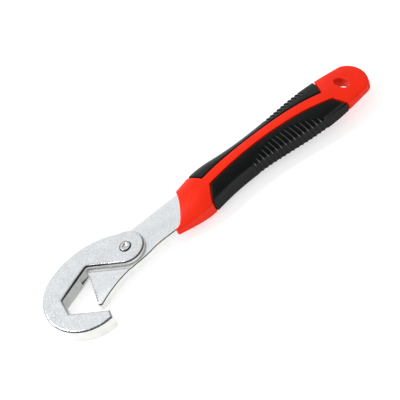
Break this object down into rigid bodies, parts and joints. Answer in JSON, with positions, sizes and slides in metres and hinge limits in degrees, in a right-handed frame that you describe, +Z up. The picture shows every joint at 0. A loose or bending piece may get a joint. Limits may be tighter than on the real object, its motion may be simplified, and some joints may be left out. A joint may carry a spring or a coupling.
{
  "type": "self-adjusting hook wrench",
  "caption": "Nut wrench with a sprung C-shaped hook jaw riveted to a flat handle that ends in a serrated fixed jaw, and a two-colour moulded grip with a hanging hole.",
  "frame": {"origin": "middle of the underside of the whole wrench's box, lying flat, which is under the grip's lowest line", "axes": "+X along the handle from the hook to the tail, +Y towards the hook's back, +Z up along the rivet"},
  "size_m": [0.252, 0.0584, 0.02],
  "materials": {
    "forged_steel": "satin nickel plating over a fine-grained forging",
    "plate_steel": "satin nickel plating, brighter cut edges",
    "rivet_steel": "peened and plated",
    "spring_steel": "oiled spring wire",
    "red_plastic": "semi-gloss moulded polypropylene",
    "black_rubber": "satin thermoplastic rubber"
  },
  "bodies": {
    "handle": {"handle_bar": "plate_steel", "grip_body": "red_plastic", "grip_pad_upper": "black_rubber", "grip_pad_lower": "black_rubber", "torsion_spring": "spring_steel"},
    "hook": {"hook_jaw": "forged_steel", "pivot_pin": "rivet_steel"}
  },
  "joints": [
    {"name": "hook_pivot", "type": "hinge", "parent": "handle", "child": "hook", "pos_m": [-0.0603, 0.0083, 0.01], "axis": [0, 0, -1], "range_deg": [0, 68], "stiffness_Nm_per_rad": 0.25, "springref_deg": -34.38, "deforming": ["torsion_spring"]}
  ]
}
